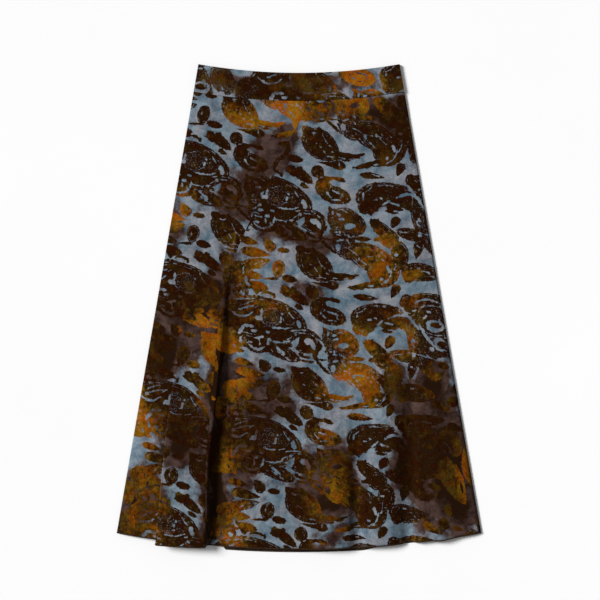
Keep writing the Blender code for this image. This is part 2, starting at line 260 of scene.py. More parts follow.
def maths(operation, *values, clamp=False):
    """The output of a Math node on up to three values, one of them another node's output."""
    return add("Math", dict(enumerate(values)), operation=operation, use_clamp=clamp).outputs[0]


def scaled(value, factor, offset, clamp=False):
    """The value times the factor, plus the offset."""
    return maths("MULTIPLY_ADD", value, factor, offset, clamp=clamp)


def vectors(operation, *values):
    """The output of a Vector Math node: a number for a dot product, otherwise a vector."""
    made = add("VectorMath", dict(enumerate(values)), operation=operation)
    return made.outputs["Value" if operation == "DOT_PRODUCT" else "Vector"]


def noise(place, scale, detail, roughness=0.5, distortion=0.0, output="Fac", dimensions="2D"):
    """A noise texture's value or colour at a place."""
    inputs = {"Vector": place, "Scale": scale, "Detail": detail}
    inputs |= {"Roughness": roughness, "Distortion": distortion}
    return add("TexNoise", inputs, noise_dimensions=dimensions).outputs[output]


def blend(amount, first, second, **settings):
    """A colour that is the first where the amount is 0 and the second where it is 1."""
    first, second = ((*colour, 1) if isinstance(colour, tuple) else colour for colour in (first, second))
    return add("Mix", {0: amount, 6: first, 7: second}, data_type="RGBA", **settings).outputs[2]


def relief(height, strength, distance):
    """The normal of a surface that rises with the height."""
    return add("Bump", {"Height": height, "Strength": strength, "Distance": distance}).outputs[0]


def new_group(name, inputs, outputs):
    """An empty node group with named sockets, with its inputs and its output node."""
    group = bpy.data.node_groups.new(name, "ShaderNodeTree")
    for side, sockets in (("INPUT", inputs), ("OUTPUT", outputs)):
        for socket, kind in sockets.items():
            group.interface.new_socket(name=socket, in_out=side, socket_type="NodeSocket" + kind)
    return group, group.nodes.new("NodeGroupInput").outputs, group.nodes.new("NodeGroupOutput")


def row_group(name, numbers):
    """An empty group for one row of the chart, which is laid over what is Before it.

    The repeat is wrapped round the row's middle: x runs from -1 to 1 along it and y across it.
    """
    inputs = dict.fromkeys(("Cloth", "Middle", "Along", "Across"), "Vector")
    inputs |= dict.fromkeys(numbers, "Float")
    group, given, result = new_group(name, inputs, {"After": "Float"})
    half = (REPEAT_ACROSS / 2, REPEAT_DOWN / 2, 1.0)
    away = vectors("SUBTRACT", given["Cloth"], given["Middle"])
    away = vectors("WRAP", away, half, [-size for size in half])
    x, y = vectors("DOT_PRODUCT", away, given["Along"]), vectors("DOT_PRODUCT", away, given["Across"])
    return group, given, result, x, y


def motif_group():
    """One motif laid over those before it.

    Along its length x runs from -1 at the head to 1 at the tip. The half width shrinks to the tip as
    (half of 1-x) to the power Taper, and the middle line swings aside with the square of the way down.
    The way out from the middle is then the length of (x, y), which is 1 on the outline. Fine burnt
    lines follow the outline of the wider ones, a few millimetres inside it, and fade with depth.
    """
    numbers = ("Taper", "Hook", "Sharp", "Ragged", "Broken", "Pile", "Before")
    group, given, result, x, y = row_group("motif", numbers)
    to_tip = scaled(x, -0.5, 0.5)
    gone = maths("SUBTRACT", 1.0, to_tip)
    width = maths("POWER", maths("MAXIMUM", to_tip, 0.001), given["Taper"])
    swung = scaled(maths("MULTIPLY", gone, gone), given["Hook"], y)
    swung = maths("DIVIDE", swung, width)
    out = maths("SQRT", scaled(swung, swung, maths("MULTIPLY", x, x)))
    depth = maths("MULTIPLY", maths("SUBTRACT", 1.0, out), given["Sharp"])
    filled = maths("ADD", maths("ADD", depth, given["Ragged"]), 0.8, clamp=True)
    wander = scaled(given["Broken"], 0.7, maths("ADD", depth, 1.0))
    from_line = maths("PINGPONG", wander, 1.8)
    line = scaled(from_line, -2.6, maths("ADD", given["Broken"], 0.25), clamp=True)
    faded = scaled(depth, -0.15, 1.4, clamp=True)
    wide = scaled(given["Sharp"], 0.2, -1.5, clamp=True)
    line = maths("MULTIPLY", line, maths("MULTIPLY", faded, wide))
    pile = maths("MULTIPLY", given["Pile"], scaled(line, -0.85, 1.0))
    after = add("Mix", {0: filled, 2: given["Before"], 3: pile})
    fill(result, {"After": after.outputs[0]})
    return group


def stroke_group():
    """One curved line laid over what is before it: the middle line bends aside with x squared, and the
    way out from it is the length of (x squared, y), so the line keeps its width nearly to its ends."""
    group, given, result, x, y = row_group("stroke", ("Bend", "Sharp", "Ragged", "Pile", "Before"))
    square = maths("MULTIPLY", x, x)
    bent = maths("SUBTRACT", y, maths("MULTIPLY", square, given["Bend"]))
    out = maths("SQRT", scaled(bent, bent, maths("MULTIPLY", square, square)))
    inside = scaled(maths("SUBTRACT", 1.0, out), given["Sharp"], given["Ragged"])
    filled = maths("ADD", inside, 0.0, clamp=True)
    after = add("Mix", {0: filled, 2: given["Before"], 3: given["Pile"]})
    fill(result, {"After": after.outputs[0]})
    return group


def paisley_group():
    """The whole repeat on the flat cloth: every motif and line in turn, then lace and flecks in the
    lacy ones."""
    group, given, result = new_group("paisley", {"Cloth": "Vector"}, {"Pile": "Float"})
    motif_kind, stroke_kind = motif_group(), stroke_group()
    flat = given["Cloth"]
    cloth = vectors("MULTIPLY_ADD", noise(flat, 22.0, 0.0, output="Color"), (0.005, 0.005, 0.0), flat)
    cloth = vectors("MULTIPLY_ADD", noise(flat, 230.0, 2.0, output="Color"), (0.0022, 0.0022, 0.0), cloth)
    cloth = vectors("SUBTRACT", cloth, (0.0036, 0.0036, 0.0))
    scallops = add("TexVoronoi", {"Vector": flat, "Scale": 230.0}, voronoi_dimensions="2D")
    ragged = scaled(scallops.outputs["Distance"], -1.3, 0.55)
    broken = scaled(noise(flat, 150.0, 2.0), 5.5, -2.7)
    before = 0.0
    for number, row in enumerate(MOTIFS + STROKES, 1):
        turn, half_length, half_width = math.radians(row.turn), row.length / 2000, row.width / 2000
        values = {
            "Cloth": cloth,
            "Middle": (row.across / 1000, row.down / 1000, 0.0),
            "Along": (math.cos(turn) / half_length, math.sin(turn) / half_length, 0.0),
            "Across": (-math.sin(turn) / half_width, math.cos(turn) / half_width, 0.0),
            "Pile": row.pile, "Before": before,
        }
        if isinstance(row, Motif):
            kind = motif_kind
            values |= {"Taper": row.taper, "Hook": row.hook, "Sharp": half_width / EDGE}
            values |= {"Ragged": ragged, "Broken": broken}
        else:
            kind = stroke_kind
            values |= {"Bend": row.bend / 1000 / half_width, "Ragged": broken}
            values["Sharp"] = min(half_width, half_length) / LINE_EDGE
        before = add("Group", values, node_tree=kind).outputs["After"]
        if number % STRETCH == 0:
            # A shader holds few values at a time, so each stretch of rows waits for the one before it.
            cloth = vectors("MULTIPLY_ADD", before, (1e-9, 1e-9, 0.0), cloth)
    to_edge = {"voronoi_dimensions": "2D", "feature": "DISTANCE_TO_EDGE"}
    lace = add("TexVoronoi", {"Vector": cloth, "Scale": 150.0}, **to_edge).outputs["Distance"]
    cells = maths("MULTIPLY", lace, 2.4)
    curl = maths("SUBTRACT", noise(cloth, 85.0, 1.0, distortion=1.6), 0.5)
    curls = maths("MULTIPLY", maths("ABSOLUTE", curl), 13.0)
    drawn = maths("MINIMUM", cells, curls)
    worn = scaled(noise(cloth, 420.0, 1.0), 0.9, maths("SUBTRACT", drawn, 0.45))
    # The less pile is charted, the further the lace is burnt away from its lines.
    burnt_to = scaled(before, -3.2, 2.9)
    gap = maths("MULTIPLY", maths("SUBTRACT", burnt_to, worn), 4.0, clamp=True)
    # A thin burnt line inside a motif keeps some fibres; the open ground keeps none.
    body = scaled(before, 9.0, -1.4, clamp=True)
    fill(result, {"Pile": maths("MULTIPLY", body, scaled(gap, -0.62, 1.0))})
    return group


paisley = paisley_group()


def dye_group():
    """The colours of the dyed cloth: a clouded ground between grey-blue and a pale lilac grey that
    turns plum, and a dark brown pile that turns olive and gold, each by its share of the piece's dye,
    broken up by noise."""
    inputs = {"Cloth": "Vector", "Dye": "Color", "Pile": "Float"}
    group, given, result = new_group("dyes", inputs, {"Color": "Color"})
    cloth = given["Cloth"]
    gold_share, olive_share, plum_share = add("SeparateColor", {"Color": given["Dye"]}).outputs.values()

    def spread(value, contrast, middle=0.5):
        """The value with more contrast: its middle becomes a half."""
        return scaled(value, contrast, 0.5 - contrast * middle, clamp=True)

    seep = scaled(noise(cloth, 55.0, 3.0, 0.6), 1.1, -0.55)
    patchy = scaled(noise(cloth, 150.0, 3.0, 0.6), 1.4, maths("ADD", seep, -0.70))
    drift = scaled(noise(cloth, 17.0, 2.0, 0.6), 1.8, -0.86)
    gold = maths("ADD", gold_share, patchy)
    olive = maths("ADD", olive_share, maths("MAXIMUM", drift, 0.0))
    olive = spread(maths("ADD", olive, seep), 2.0)
    plum = spread(maths("ADD", plum_share, seep), 2.4)

    clouds = noise(cloth, 42.0, 6.0, 0.68, 0.3)
    pale = blend(spread(clouds, 3.2), (0.066, 0.108, 0.142), (0.196, 0.248, 0.288))
    creamy = blend(spread(clouds, 3.2, 0.48), (0.112, 0.114, 0.132), (0.254, 0.258, 0.284))
    ground = blend(spread(noise(cloth, 22.0, 2.0, 0.6), 4.0, 0.53), pale, creamy)
    threads = maths("ABSOLUTE", maths("SUBTRACT", noise(cloth, 75.0, 4.0, 0.75, 0.8), 0.5))
    vein = scaled(threads, -18.0, 0.75, clamp=True)
    ground = blend(maths("MULTIPLY", vein, 0.55), ground, (0.038, 0.084, 0.128))
    plummy = blend(spread(clouds, 3.6), (0.02, 0.009, 0.006), (0.072, 0.042, 0.036))
    ground = blend(plum, ground, plummy)
    # Where plum was laid on twice the ground is nearly as dark as the pile; down the seam groove this
    # darkness is painted shade.
    twice_dyed_and_shade = spread(maths("ADD", plum_share, seep), 2.2, 1.35)
    ground = blend(twice_dyed_and_shade, ground, (0.015, 0.006, 0.0022))

    brushed = maths("MULTIPLY", noise(cloth, 430.0, 3.0, 0.75), 0.60)
    lie = spread(scaled(noise(cloth, 120.0, 4.0, 0.7), 0.55, brushed), 3.2, 0.56)
    dark = blend(lie, (0.0098, 0.0028, 0.0002), (0.0245, 0.0079, 0.0009))
    olives = blend(lie, (0.024, 0.0096, 0.0007), (0.077, 0.0375, 0.003))
    golds = blend(lie, (0.078, 0.03, 0.0009), (0.178, 0.067, 0.002))
    bright = blend(lie, (0.168, 0.056, 0.0015), (0.33, 0.116, 0.0052))
    # Gold takes through olive: the less of it, the darker.
    through = blend(olive, dark, olives)
    pile = blend(spread(gold, 2.2, 0.40), through, blend(spread(gold, 2.6, 0.62), olives, golds))
    pile = blend(spread(gold, 1.5, 1.18), pile, bright)
    # The dye runs from amber to a greener yellow.
    hue = spread(noise(cloth, 44.0, 4.0, 0.6), 4.5)
    tint = blend(hue, (1.05, 0.71, 0.64), (0.94, 1.14, 1.50))
    pile = blend(1.0, pile, tint, blend_type="MULTIPLY")
    fill(result, {"Color": blend(given["Pile"], ground, pile)})
    return group


dyes = dye_group()


def surface_group():
    """The feel of the cloth: a furry bump where pile stands, a fine knit where it is burnt away."""
    inputs = {"Cloth": "Vector", "Pile": "Float"}
    group, given, result = new_group("nap", inputs, {"Normal": "Vector", "Roughness": "Float"})
    cloth = given["Cloth"]
    furry = relief(scaled(noise(cloth, 130.0, 2.0), 2.0, noise(cloth, 800.0, 2.0, 0.7)), 0.6, 0.0006)
    knit = add("TexWave", {"Vector": cloth, "Scale": 260.0, "Distortion": 2.0}, bands_direction="X")
    ribbed = relief(knit.outputs["Fac"], 0.25, 0.0002)
    mixed = add("Mix", {0: given["Pile"], 4: ribbed, 5: furry}, data_type="VECTOR")
    fill(result, {"Normal": mixed.outputs[1], "Roughness": scaled(given["Pile"], 0.25, 0.62)})
    return group


nap = surface_group()


def new_material(name):
    """A material with nodes, with its tree and its surface shader."""
    made = bpy.data.materials.new(name)
    made.use_nodes = True
    return made, made.node_tree, made.node_tree.nodes["Principled BSDF"]


def attribute(tree, name, output):
    """What a mesh stores at its points under a name."""
    return add("Attribute", {}, tree, attribute_name=name).outputs[output]


def velvet(name, reverse=False):
    """Burnout velvet: the repeat read off the cloth attribute and dyed, with a sheen on the pile. Its
    reverse has no pile, and the dyes show pale through the base cloth."""
    made, tree, shader = new_material(name)
    cloth = attribute(tree, "cloth", "Vector")
    if reverse:
        pile = 0.0
        coloured = scaled(noise(cloth, 30.0, 2.0), 1.6, -0.45, clamp=True)
    else:
        pile = coloured = add("Group", {"Cloth": cloth}, node_tree=paisley).outputs["Pile"]
    inputs = {"Cloth": cloth, "Dye": attribute(tree, "dye", "Color"), "Pile": coloured}
    colours = add("Group", inputs, node_tree=dyes)
    feel = add("Group", {"Cloth": cloth, "Pile": pile}, node_tree=nap)
    fill(shader, {"Base Color": colours.outputs["Color"], "Normal": feel.outputs["Normal"]})
    if reverse:
        fill(shader, {"Roughness": 0.85})
    else:
        fill(shader, {"Roughness": feel.outputs["Roughness"], "Specular IOR Level": 0.02})
        fill(shader, {"Sheen Weight": 0.02, "Sheen Roughness": 0.45, "Sheen Tint": (0.55, 0.40, 0.30, 1)})
    return made


skirt_velvet = velvet("burnout_velvet")
skirt_reverse = velvet("velvet_reverse", reverse=True)


def turned(x, y, degrees):
    """x and y along axes turned by the angle: x cos + y sin, and y cos - x sin."""
    turn = math.radians(degrees)
    return x * math.cos(turn) + y * math.sin(turn), y * math.cos(turn) - x * math.sin(turn)


def chart_place(angle, radius, middle, grain):
    """Where points of the flat cut lie on the chart: across and down from its middle, turned with the
    grain."""
    flat = on_plane(angle, radius, 0.0)
    across, down = turned(flat[..., 0] - middle[0], middle[1] - flat[..., 1], grain)
    return np.stack([across, down, np.zeros_like(across)], axis=-1)


# Where each dye has taken, as soft ellipses in millimetres about the skirt's middle, on the front.
# A narrow strip of heavy plum down the groove right of the seam is partly dark dye, partly painted shade.
Dye = namedtuple("Dye", "x y wide high gold olive plum", defaults=(0,))
FRONT_DYES_AND_SHADE = [Dye(*row) for row in (
    (-22, 334, 52, 34, 1.2, 0), (-95, 330, 44, 24, 1, 0), (100, 344, 58, 30, 1.3, 0.4, 0.5),
    (176, 328, 40, 40, -0.1, 0.05, 1.5), (188, 266, 18, 50, -0.1, 0.1, 0.5), (44, 217, 40, 30, 0.7, 0.6),
    (126, 68, 50, 54, 0.95, 0.4), (144, 118, 32, 28, 0.8, 0.4), (78, 150, 40, 34, 0.2, 0.9),
    (189, 51, 30, 20, 0.8, 0.2), (204, 12, 24, 30, 0.7, 0.3), (-62, 66, 50, 56, 1.15, 0.2),
    (-196, 184, 26, 34, 0.9, 0.4), (-176, -22, 46, 22, 0.8, 0.4, 0.4), (-156, -60, 36, 58, 1.3, 0.4, 0.2),
    (-118, -96, 20, 64, 1.5, 0.3, 0.3), (-96, -118, 36, 34, 1.2, 0.4, 0.4),
    (-150, -166, 30, 36, 1.1, 0.3, 0.6), (-268, -200, 34, 84, 1.3, 0.4),
    (-276, -330, 46, 70, 0.3, 0.9, 0.7), (-114, -266, 26, 52, 1, 0.3, 0.2),
    (104, -124, 50, 58, 1.15, 0.3), (78, -52, 50, 30, 0.9, 0.5), (68, -140, 38, 24, 0.6, 0.7),
    (40, -212, 30, 24, 0.8, 0.3), (58, -300, 40, 56, 0.75, 0.5, 0.5), (40, -244, 50, 34, 0, 0.2, 0.9),
    (44, -330, 40, 26, 0.6, 0.6, 0.6), (266, -306, 46, 84, 0.3, 0.7, 0.8),
    (-116, -350, 52, 44, 0.9, 0.5, 0.1), (87, -182, 26, 14, 0.8, 0.2), (172, -52, 32, 56, 0.8, 0.4),
    (236, -130, 32, 54, 0.5, 0.6, 1.5), (270, -250, 20, 60, 0.4, 0.8, 0.6),
    (205, -386, 30, 26, 0.9, 0.4, 0.7), (-44, 268, 54, 44, 0, 0, 1.1), (-216, -56, 84, 60, 0, 0.1, 1.1),
    (-58, -156, 90, 60, 0, 0.2, 1.1), (30, -318, 70, 50, 0, 0.2, 1), (225, -240, 84, 120, 0, 0.1, 1.2),
    (-110, 172, 60, 26, 0, 0.2, 0.9), (-200, -238, 54, 36, 0.1, 0.2, 0.7),
    (-250, -386, 34, 22, 0.6, 0.3, 0.3), (-236, -300, 34, 60, 0.4, 0.3, 0.3),
    (-92, -262, 50, 60, 0, 0.2, 1.2), (30, 110, 44, 20, 0, 0, 0.8), (60, -388, 40, 26, 0.7, 0.3, 0.8),
    (-135, 30, 44, 50, 0, 0.3, 1.2), (265, -344, 60, 50, 0.2, 0.5, 0.8),
    # Partly dark dye, partly painted shade: these four rows lay heavy plum down the seam groove.
    (-138, -90, 16, 60, 0.1, 0.5, 1.9), (-137, -190, 17, 70, 0, 0.2, 2.2),
    (-140, -280, 16, 70, 0, 0.1, 2.2), (-160, -366, 17, 66, 0, 0.1, 2.4),
    (184, -226, 16, 80, 0, 0.2, 1.1), (166, -120, 20, 60, 0.1, 0.4, 1), (86, -300, 26, 60, 0.1, 0.3, 1.6),
    (196, -300, 16, 50, 0, 0.1, 1.3), (-258, -10, 20, 90, 0, 0.2, 1.6), (-238, -90, 30, 50, 0, 0.1, 1.7),
    (20, 30, 60, 24, 0, 0.1, 0.9), (-80, 236, 50, 28, 0, 0.1, 1), (140, 256, 28, 44, 0.1, 0.5, 0.2),
    (-6, 312, 32, 36, 1.5, 0), (-186, 160, 30, 26, 0.8, 0.3), (-20, 120, 70, 26, 0, 0.1, 1.2),
    (-175, 6, 74, 36, 0, 0.2, 1.4), (-294, -350, 26, 60, 0.5, 0.4, 1.2), (130, 336, 56, 26, -0.2, 0.2, 1),
    (-206, 152, 24, 46, 0.5, 0.3, 1.5), (-100, 200, 46, 38, 0.1, 0.2, 0.7),
    (-200, -205, 44, 44, -0.3, 0, 1.6), (290, -276, 18, 84, 1, 0.3, 0.2), (-116, -392, 40, 14, 1, 0.3),
    (36, 342, 40, 20, 0.2, 0.3, 0.9), (-6, 298, 26, 26, 0, 0, 0.8), (-120, 84, 30, 36, 0.3, 0.3, 0.6),
    (84, -128, 40, 36, 0.4, 0.2), (-44, 0, 60, 30, 0.45, 0.3), (-84, 112, 30, 30, 0.5, 0.2),
    (-90, -98, 30, 26, 0.2, 0.2, 0.9), (-238, -188, 24, 36, -0.3, 0.3, 0.8),
    # Painted shade: the last row here and the first on the next line darken the seam groove and take its
    # gold out.
    (-246, -304, 24, 30, 0.2, 0.3, 0.7), (-128, -250, 14, 60, -0.3, 0.1, 1.8),
    (-130, -350, 15, 60, -0.4, 0.1, 1.8), (-228, 120, 22, 30, -0.6, 0.1, 0.3),
    (-60, 320, 40, 16, 0.4, 0.1), (214, -252, 38, 84, -0.6, -0.8, 0.5),
    (-176, -250, 26, 30, -0.3, -0.4, 0.4),
)]
DYE_REACH = 0.8                   # where a patch has fallen to 1/e, as a share of its half size


def dye_shares(points, patches, mirrored=False):
    """Gold, olive and plum at each point: each patch adds its shares, falling off as exp(-d^2) from
    its middle, and a broad slow ripple keeps the edges from being round."""
    x, y = 1000 * points[..., 0], 1000 * points[..., 1]
    x = -x if mirrored else x
    wavy_x = x + 9 * np.sin(y / 23 + 1) + 5 * np.sin(x / 11)
    wavy_y = y + 9 * np.sin(x / 19) + 5 * np.sin(y / 13 + 2)
    shares = np.zeros(points.shape[:2] + (4,))
    for patch in patches:
        aside = (wavy_x - patch.x) / (DYE_REACH * patch.wide)
        along = (wavy_y - patch.y) / (DYE_REACH * patch.high)
        near = np.exp(-(aside ** 2) - along ** 2)
        shares[..., :3] += near[..., None] * np.array([patch.gold, patch.olive, patch.plum])
    shares[..., 3] = 1.0
    return np.clip(shares, 0.0, 2.0)


def unit_normals(points):
    """The upward normal of a grid of points, from the cross product of its two directions."""
    return unit(np.cross(np.gradient(points, axis=0), np.gradient(points, axis=1)))


def new_object(name, data):
    """An object in the scene."""
    made = bpy.data.objects.new(name, data)
    bpy.context.scene.collection.objects.link(made)
    return made


def new_piece(name, points, faces, finishes, **stored):
    """An object of points and faces, with what it stores at its points: vectors, or colours of four
    numbers."""
    mesh = bpy.data.meshes.new(name)
    mesh.from_pydata(points.reshape(-1, 3).tolist(), [], faces)
    for key, values in stored.items():
        kind, field = ("FLOAT_COLOR", "color") if values.shape[-1] == 4 else ("FLOAT_VECTOR", "vector")
        data = mesh.attributes.new(key, kind, "POINT").data
        data.foreach_set(field, values.reshape(-1).astype(np.float32))
    for finish in finishes:
        mesh.materials.append(finish)
    mesh.shade_smooth()
    return new_object(name, mesh)


def on_frame(made, node):
    """The piece rides the frame's one body in place of a node, whose part is hidden."""
    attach(made, "root")
    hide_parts(node)
    return made


def cut_of_cloth(name, node, underside, cloth, dye, face_up=True):
    """A panel: the grid of its right side, with the wall built inwards by Solidify.

    Rows run down the panel and columns across it. The right side is the given underside lifted by the
    wall's thickness, or the underside itself on a panel that lies face down.
    """
    points = underside + CLOTH * unit_normals(underside) if face_up else underside
    rows, columns = points.shape[:2]
    index = np.arange(rows * columns).reshape(rows, columns)
    corners = [index[:-1, :-1], index[1:, :-1], index[1:, 1:], index[:-1, 1:]]
    faces = np.stack(corners if face_up else corners[::-1], axis=-1).reshape(-1, 4).tolist()
    made = new_piece(name, points, faces, [skirt_velvet, skirt_reverse], cloth=cloth, dye=dye)
    wall = made.modifiers.new("cloth_wall", "SOLIDIFY")
    wall.thickness = CLOTH
    wall.offset = -1.0
    wall.use_even_offset = False
    wall.material_offset = 1
    return on_frame(made, node)


BACK_ROWS, BACK_COLUMNS = 160, 150
BACK_CHART, BACK_GRAIN = (0.06, -0.02), 0.0
BACK_EDGE_HEIGHT = 0.0007         # of the stitched edge's middle line above the underside

down = np.linspace(0.0, 1.0, BACK_ROWS + 1)[:, None]
angle = np.linspace(-SIDE_ANGLE, SIDE_ANGLE, BACK_COLUMNS + 1)[None, :]
radius = PANEL_RADIUS + down * (back_hem_radius(angle) - PANEL_RADIUS)
underside = on_plane(angle, radius, back_rise(radius))
back_skin = cut_of_cloth(
    "back_skin", "back_panel", underside, chart_place(-angle, radius, BACK_CHART, BACK_GRAIN),
    dye_shares(underside, FRONT_DYES_AND_SHADE, mirrored=True), face_up=False,
)
back_line = underside[-1] + (0.0, 0.0, BACK_EDGE_HEIGHT)

# ----------------------------------------------------------------------
# The two front panels of the same velvet. A seam sweeps from the middle of the band down to the
# left and joins them. Below it their flare falls into folds, deepest beside the seam.

FRONT_PUFF_AT_BAND = 0.0014
FRONT_PUFF_AT_HEM = 0.0056
SIDE_ROUNDING = 0.016             # how fast the front rises from its side edges

SEAM_ANGLE_LOW = math.radians(-5.6)
SEAM_SWING = math.radians(6.6)
SEAM_STRAIGHT_FROM = 1.4
SEAM_POWER = 1.5

# Folds. angle: where it meets the hem, in degrees; slant: how many degrees its line gains for each
# metre up; start, full: radii where it begins and is fully grown; left, right: reach to each side;
# height: lift, or dip below the cloth beside it; lean: sideways push of its crest; drop: how much
# longer it lets the hem hang.
Fold = namedtuple("Fold", "angle slant start full left right height lean drop")
FOLDS = [Fold(*row) for row in (
    (-7.15, -1.1, 1.34, 1.64, 0.016, 0.056, 0.0105, -0.015, 0.008),  # overlap
    (-5.62, 0.8, 1.3, 1.54, 0.046, 0.009, 0.0105, 0.005, 0.003),  # seam ridge
    (-5.45, 0, 1.64, 1.8, 0.04, 0.022, 0, 0.0115, 0),  # seam lean
    (-4.78, -0.5, 1.29, 1.54, 0.012, 0.038, -0.0044, 0, 0),  # seam groove
    (2, 1.5, 1.52, 1.78, 0.08, 0.04, 0.0058, 0, 0),  # middle swell
    (3.25, 1.6, 1.54, 1.77, 0.022, 0.012, -0.0048, -0.002, 0),  # middle dip
    (4.45, 4, 1.42, 1.64, 0.05, 0.046, 0.0044, 0, 0),  # right swell
    (6.12, 4.2, 1.4, 1.6, 0.036, 0.012, -0.0048, -0.0015, 0),  # right dip
    (7.7, 2, 1.48, 1.74, 0.022, 0.036, 0.0026, 0, 0.002),  # side swell
    (5.85, 0, 1.66, 1.8, 0.008, 0.02, -0.0012, 0, -0.0045),  # hem nick
)]
MAIN_COLUMNS, LEFT_COLUMNS, FRONT_ROWS = 210, 120, 220
CREASE_CROWDING = 2.0


def bump(fold, angle, radius):
    """cos^2 of the distance from the fold's line over its reach, times its growth to the hem."""
    line = math.radians(fold.angle) + math.radians(fold.slant) * (HEM_RADIUS - radius)
    away = (angle - line) * radius
    reach = np.where(away < 0, fold.left, fold.right)
    across = np.cos(0.5 * math.pi * np.clip(away / reach, -1.0, 1.0)) ** 2
    return across * smooth((radius - fold.start) / (fold.full - fold.start))


def front_point(angle, radius):
    """The front's underside: layer height, a puff that fades at the side edges, then each fold."""
    down = (radius - SEAM_RADIUS) / PANEL_LENGTH
    puff = FRONT_PUFF_AT_BAND + (FRONT_PUFF_AT_HEM - FRONT_PUFF_AT_BAND) * smooth(down)
    from_side = (SIDE_ANGLE - np.abs(angle)) * radius
    height = CLOTH + SEAM_GAP + back_rise(radius)
    height = height + puff * (1.0 - np.exp(-from_side / SIDE_ROUNDING))
    push = np.zeros_like(height)
    for fold in FOLDS:
        height = height + fold.height * bump(fold, angle, radius)
        push = push + fold.lean * bump(fold, angle, radius)
    return on_plane(angle + push / radius, radius, height)


def seam_angle(radius):
    """A power curve from the middle of the band, then straight down the left."""
    left_to_go = (SEAM_STRAIGHT_FROM - radius) / (SEAM_STRAIGHT_FROM - SEAM_RADIUS)
    return SEAM_ANGLE_LOW + SEAM_SWING * np.clip(left_to_go, 0.0, 1.0) ** SEAM_POWER


def front_hem_radius(angle):
    """The hem's radius: each fold lets it hang a little longer or shorter."""
    hem = np.full_like(angle, HEM_RADIUS)
    for fold in FOLDS:
        hem = hem + fold.drop * bump(fold, angle, HEM_RADIUS)
    return hem


def crowded(low, high, count):
    """count+1 fractions from 0 to 1 over the angles low to high, closer together near each fold."""
    fine = np.linspace(low, high, 2000)
    density = np.ones_like(fine)
    for fold in FOLDS:
        reach = (fold.left + fold.right) / 3 / HEM_RADIUS
        density += CREASE_CROWDING * np.exp(-(((fine - math.radians(fold.angle)) / reach) ** 2))
    total = running(0.5 * (density[1:] + density[:-1]))
    return (np.interp(np.linspace(0.0, total[-1], count + 1), total, fine) - low) / (high - low)


def unfolded(angle, radius, points, pinned):
    """The angle of each point on the flat cut: along a row the cloth is as long as its folds make it,
    and the column nearest the pinned angle stays where it is."""
    steps = np.linalg.norm(np.diff(points, axis=1), axis=-1)
    flat_steps = np.diff(angle, axis=1) * 0.5 * (radius[:, 1:] + radius[:, :-1])
    extra = np.concatenate([np.zeros((len(points), 1)), np.cumsum(steps - flat_steps, axis=1)], axis=1)
    column = np.abs(angle[len(angle) // 2] - math.radians(pinned)).argmin()
    return angle + (extra - extra[:, column:column + 1]) / radius


# Small creases, ridges above 0 and troughs below: the middle, length, width and height in
# millimetres, and turn anticlockwise from across.
Crease = namedtuple("Crease", "x y length width turn height")
CREASES = [Crease(*row) for row in (
    (-196, -262, 60, 8, 45, 1.7), (-184, -272, 50, 7, 52, -1.1), (-214, -244, 44, 7, 38, 0.9),
    (-121, -150, 66, 10, 22, 1.9), (-142, -196, 40, 7, -28, -1.4), (-104, -176, 70, 9, 40, -0.8),
    (-168, -70, 120, 12, 68, 1), (-150, 40, 150, 16, 62, -0.8), (-128, 60, 130, 12, 66, 0.8),
    (-70, 150, 170, 16, 60, 0.8), (-30, 60, 190, 18, 76, -0.7), (40, 20, 210, 16, 84, 0.7),
    (96, 190, 150, 14, 108, 0.8), (150, 120, 160, 15, 104, -0.8), (128, -20, 150, 12, 100, 0.7),
    (60, -150, 150, 14, 82, 0.8), (-10, -220, 190, 16, 92, -0.8), (-60, -300, 120, 12, 96, 0.8),
    (215, -180, 160, 12, 100, 0.9), (240, -300, 110, 10, 104, -0.9), (20, -340, 80, 9, 88, 0.9),
    (-262, -300, 110, 10, 80, 1), (-248, -180, 100, 9, 78, -0.8), (130, -330, 90, 10, 96, 0.8),
    (0, 300, 200, 14, 4, -0.7), (-60, 262, 120, 10, -16, 0.7), (90, 262, 130, 10, 14, 0.7),
)]
CREASES_FULL = 0.020              # how far from the sides and the band creases have their full height


def creased(points):
    """The height the small creases add: each is exp(-d^2) along and across, on slow ripples of the
    cloth that make it lie unevenly."""
    x, y = 1000 * points[..., 0], 1000 * points[..., 1]
    ripple = 0.35 * np.sin(x / 17 + 2.0 * np.sin(y / 90)) * np.sin(y / 41 + x / 60)
    height = ripple + 0.25 * np.sin(y / 13 + x / 29)
    for crease in CREASES:
        along, aside = turned(x - crease.x, y - crease.y, crease.turn)
        near = np.exp(-((2 * along / crease.length) ** 2) - (aside / crease.width) ** 2)
        height = height + crease.height * near
    return height / 1000


def front_skin(name, node, left, right, columns, chart, grain, pinned):
    """One front panel between two lines of angles, from the band to the hem. The middle line of its
    lower edge comes back with it."""
    down = np.linspace(0.0, 1.0, FRONT_ROWS + 1)[:, None]
    start = PANEL_RADIUS + down * (HEM_RADIUS - PANEL_RADIUS)
    low, high = left(start), right(start)
    angle = low + crowded(float(low[-1, 0]), float(high[-1, 0]), columns)[None, :] * (high - low)
    radius = PANEL_RADIUS + down * (front_hem_radius(angle) - PANEL_RADIUS)
    underside = front_point(angle, radius)
    inland = smooth((SIDE_ANGLE - np.abs(angle)) * radius / CREASES_FULL)
    inland = inland * smooth((radius - PANEL_RADIUS) / CREASES_FULL)
    underside[..., 2] += inland * creased(underside)
    place = chart_place(unfolded(angle, radius, underside, pinned), radius, chart, grain)
    made = cut_of_cloth(name, node, underside, place, dye_shares(underside, FRONT_DYES_AND_SHADE))
    return made, underside[-1] + 0.5 * CLOTH * unit_normals(underside)[-1]


